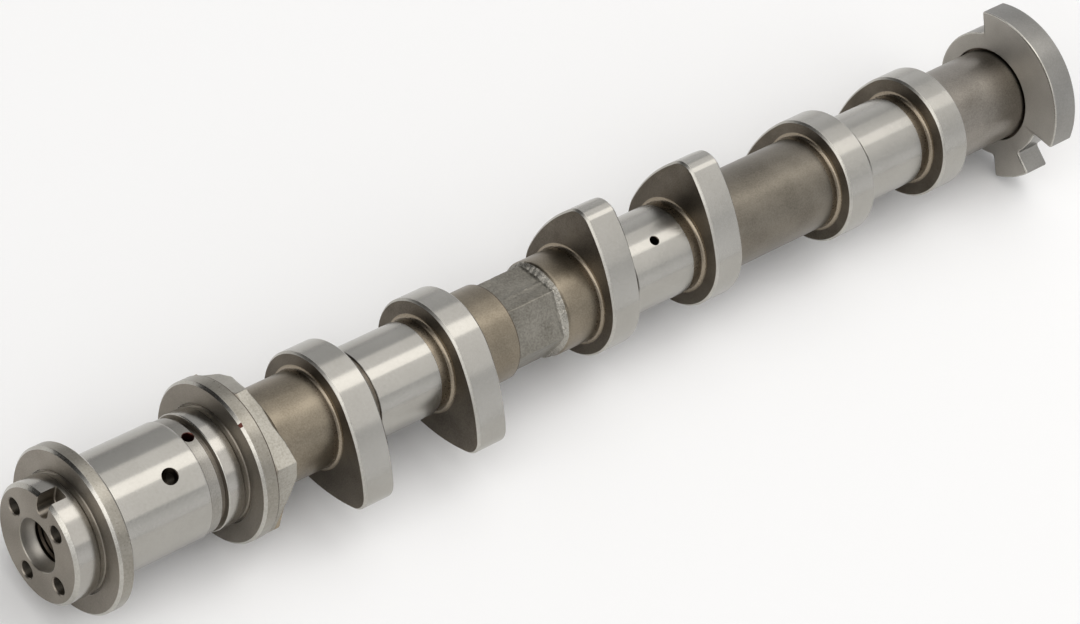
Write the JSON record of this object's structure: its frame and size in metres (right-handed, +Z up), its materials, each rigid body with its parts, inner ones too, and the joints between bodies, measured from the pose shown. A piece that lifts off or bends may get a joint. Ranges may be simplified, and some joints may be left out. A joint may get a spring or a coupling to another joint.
{
  "type": "camshaft",
  "caption": "Bare one-piece camshaft: drilled and slotted nose, two flanges, ground journals, paired cams, rough grip and an end trigger wheel.",
  "frame": {"origin": "centre of the nose's end face, on the shaft's axis", "axes": "+X along the axis from the nose to the trigger wheel, +Z up as the shaft lies on a flat surface"},
  "size_m": [0.401, 0.056, 0.0559],
  "materials": {
    "shaft_steel": "bright ground journals and cams, satin brown-grey between them"
  },
  "bodies": {
    "root": {"camshaft": "shaft_steel"}
  },
  "joints": []
}
